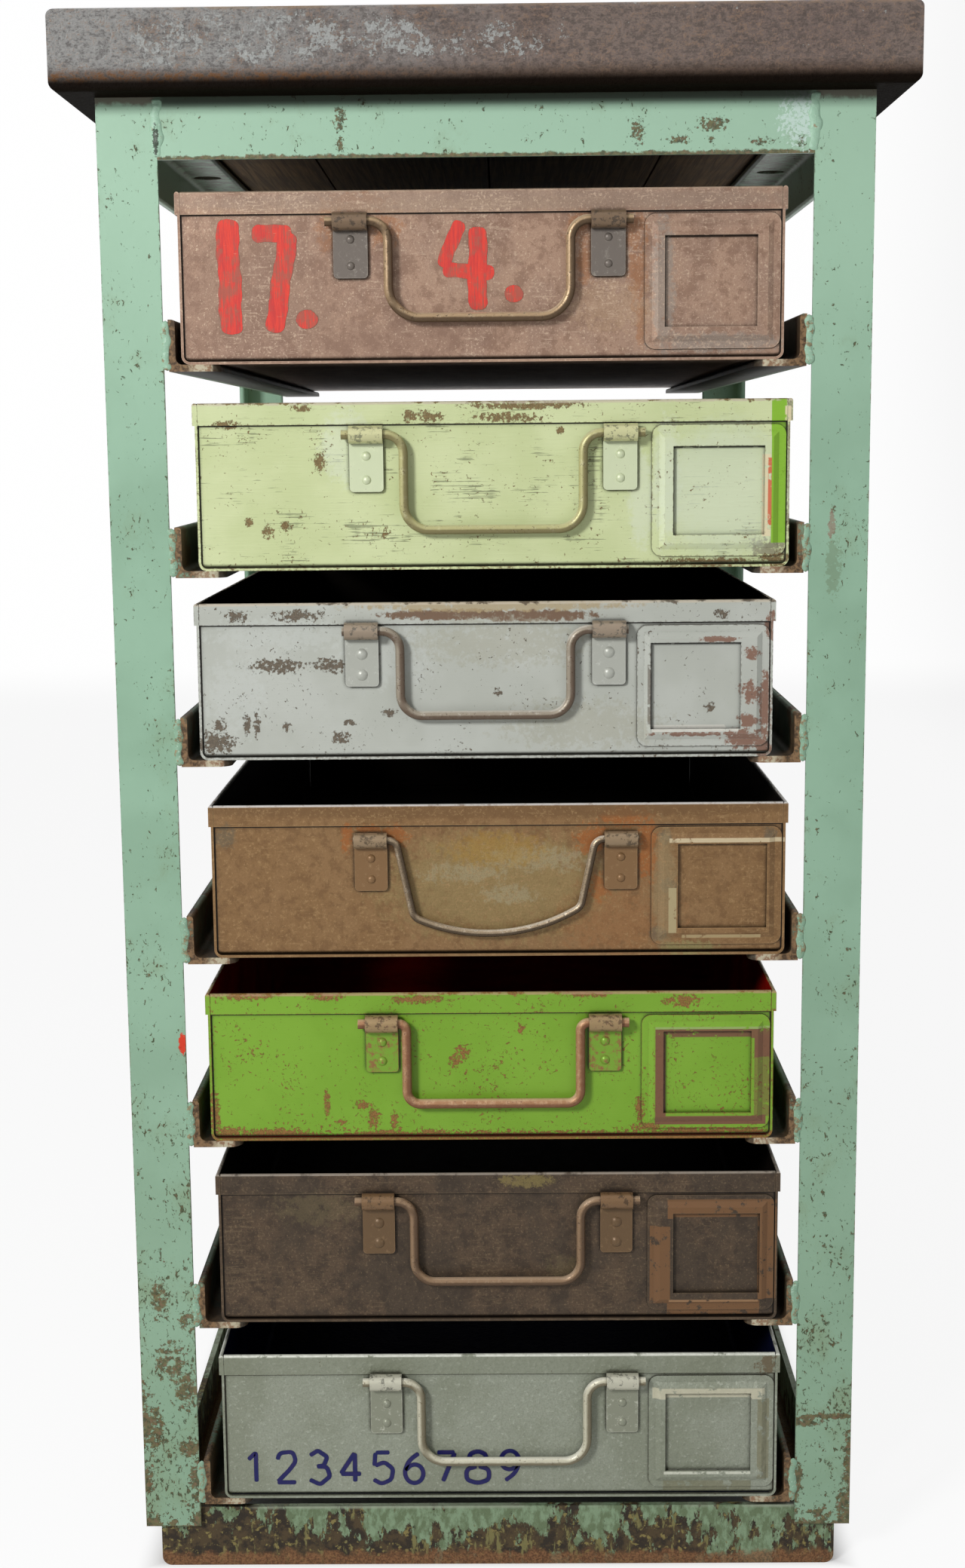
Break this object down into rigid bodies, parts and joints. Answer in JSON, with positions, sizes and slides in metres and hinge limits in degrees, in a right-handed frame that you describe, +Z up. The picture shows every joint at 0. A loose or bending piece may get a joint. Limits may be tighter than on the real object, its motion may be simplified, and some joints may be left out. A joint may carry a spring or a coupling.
{
  "type": "metal drawer cabinet",
  "caption": "Narrow angle-iron rack on a low base with a sheet-covered top, carrying sliding sheet drawers that have label holders and swinging wire bails.",
  "frame": {"origin": "middle of the footprint on the floor", "axes": "+Z up, the drawers pull out towards -Y, +X to the right seen from the front"},
  "size_m": [0.493, 0.74, 0.9575],
  "materials": {
    "frame_paint": "chipped mint green paint over rust",
    "top_steel": "pitted brown rust, waxed",
    "top_wood": "raw, darkened boards",
    "screw_steel": "dull zinc",
    "drawer_1_finish": "rusted bare sheet",
    "lug_1_finish": "rusted bare sheet",
    "bail_1_finish": "worn wire",
    "drawer_2_finish": "worn paint",
    "lug_2_finish": "worn paint",
    "bail_2_finish": "worn wire",
    "drawer_3_finish": "worn paint",
    "lug_3_finish": "worn paint",
    "bail_3_finish": "worn wire",
    "drawer_4_finish": "rusted bare sheet",
    "lug_4_finish": "rusted bare sheet",
    "bail_4_finish": "worn wire",
    "drawer_5_finish": "chipped paint",
    "lug_5_finish": "chipped paint",
    "bail_5_finish": "worn wire",
    "drawer_6_finish": "rusted bare sheet",
    "lug_6_finish": "rusted bare sheet",
    "bail_6_finish": "worn wire",
    "drawer_7_finish": "hammered paint",
    "lug_7_finish": "hammered paint",
    "bail_7_finish": "worn wire"
  },
  "bodies": {
    "frame": {"post_front_left": "frame_paint", "post_front_right": "frame_paint", "post_rear_left": "frame_paint", "post_rear_right": "frame_paint", "rail_front": "frame_paint", "rail_rear": "frame_paint", "rail_left": "frame_paint", "rail_right": "frame_paint", "base_ends": "frame_paint", "base_sides": "frame_paint", "runners_left": "frame_paint", "runners_right": "frame_paint", "weld_beads": "frame_paint", "worktop_skin": "top_steel", "worktop_boards": "top_wood", "worktop_screws": "screw_steel"},
    "drawer_1": {"drawer_1_shell": "drawer_1_finish", "drawer_1_front": "drawer_1_finish", "drawer_1_back": "drawer_1_finish", "drawer_1_label": "drawer_1_finish", "drawer_1_lugs": "lug_1_finish"},
    "bail_1": {"drawer_1_bail": "bail_1_finish"},
    "drawer_2": {"drawer_2_shell": "drawer_2_finish", "drawer_2_front": "drawer_2_finish", "drawer_2_back": "drawer_2_finish", "drawer_2_label": "drawer_2_finish", "drawer_2_lugs": "lug_2_finish"},
    "bail_2": {"drawer_2_bail": "bail_2_finish"},
    "drawer_3": {"drawer_3_shell": "drawer_3_finish", "drawer_3_front": "drawer_3_finish", "drawer_3_back": "drawer_3_finish", "drawer_3_label": "drawer_3_finish", "drawer_3_lugs": "lug_3_finish"},
    "bail_3": {"drawer_3_bail": "bail_3_finish"},
    "drawer_4": {"drawer_4_shell": "drawer_4_finish", "drawer_4_front": "drawer_4_finish", "drawer_4_back": "drawer_4_finish", "drawer_4_label": "drawer_4_finish", "drawer_4_lugs": "lug_4_finish"},
    "bail_4": {"drawer_4_bail": "bail_4_finish"},
    "drawer_5": {"drawer_5_shell": "drawer_5_finish", "drawer_5_front": "drawer_5_finish", "drawer_5_back": "drawer_5_finish", "drawer_5_label": "drawer_5_finish", "drawer_5_lugs": "lug_5_finish"},
    "bail_5": {"drawer_5_bail": "bail_5_finish"},
    "drawer_6": {"drawer_6_shell": "drawer_6_finish", "drawer_6_front": "drawer_6_finish", "drawer_6_back": "drawer_6_finish", "drawer_6_label": "drawer_6_finish", "drawer_6_lugs": "lug_6_finish"},
    "bail_6": {"drawer_6_bail": "bail_6_finish"},
    "drawer_7": {"drawer_7_shell": "drawer_7_finish", "drawer_7_front": "drawer_7_finish", "drawer_7_back": "drawer_7_finish", "drawer_7_label": "drawer_7_finish", "drawer_7_lugs": "lug_7_finish"},
    "bail_7": {"drawer_7_bail": "bail_7_finish"}
  },
  "joints": [
    {"name": "drawer_1_slide", "type": "slide", "parent": "frame", "child": "drawer_1", "axis": [0, -1, 0], "range_m": [0, 0.6]},
    {"name": "bail_1_swing", "type": "hinge", "parent": "drawer_1", "child": "bail_1", "pos_m": [-0.0041, -0.34873, 0.841], "axis": [-1, 0, 0], "range_deg": [0, 175]},
    {"name": "drawer_2_slide", "type": "slide", "parent": "frame", "child": "drawer_2", "axis": [0, -1, 0], "range_m": [0, 0.6]},
    {"name": "bail_2_swing", "type": "hinge", "parent": "drawer_2", "child": "bail_2", "pos_m": [0.003, -0.34873, 0.719], "axis": [-1, 0, 0], "range_deg": [0, 175]},
    {"name": "drawer_3_slide", "type": "slide", "parent": "frame", "child": "drawer_3", "axis": [0, -1, 0], "range_m": [0, 0.6]},
    {"name": "bail_3_swing", "type": "hinge", "parent": "drawer_3", "child": "bail_3", "pos_m": [-0.0027, -0.34873, 0.60322], "axis": [-1, 0, 0], "range_deg": [0, 175]},
    {"name": "drawer_4_slide", "type": "slide", "parent": "frame", "child": "drawer_4", "axis": [0, -1, 0], "range_m": [0, 0.6]},
    {"name": "bail_4_swing", "type": "hinge", "parent": "drawer_4", "child": "bail_4", "pos_m": [0.0026, -0.34823, 0.476], "axis": [-1, 0, 0], "range_deg": [0, 175]},
    {"name": "drawer_5_slide", "type": "slide", "parent": "frame", "child": "drawer_5", "axis": [0, -1, 0], "range_m": [0, 0.6]},
    {"name": "bail_5_swing", "type": "hinge", "parent": "drawer_5", "child": "bail_5", "pos_m": [0.00025, -0.34898, 0.3615], "axis": [-1, 0, 0], "range_deg": [0, 175]},
    {"name": "drawer_6_slide", "type": "slide", "parent": "frame", "child": "drawer_6", "axis": [0, -1, 0], "range_m": [0, 0.6]},
    {"name": "bail_6_swing", "type": "hinge", "parent": "drawer_6", "child": "bail_6", "pos_m": [0.00175, -0.34873, 0.24722], "axis": [-1, 0, 0], "range_deg": [0, 175]},
    {"name": "drawer_7_slide", "type": "slide", "parent": "frame", "child": "drawer_7", "axis": [0, -1, 0], "range_m": [0, 0.6]},
    {"name": "bail_7_swing", "type": "hinge", "parent": "drawer_7", "child": "bail_7", "pos_m": [0.0051, -0.34873, 0.12772], "axis": [-1, 0, 0], "range_deg": [0, 175]}
  ]
}
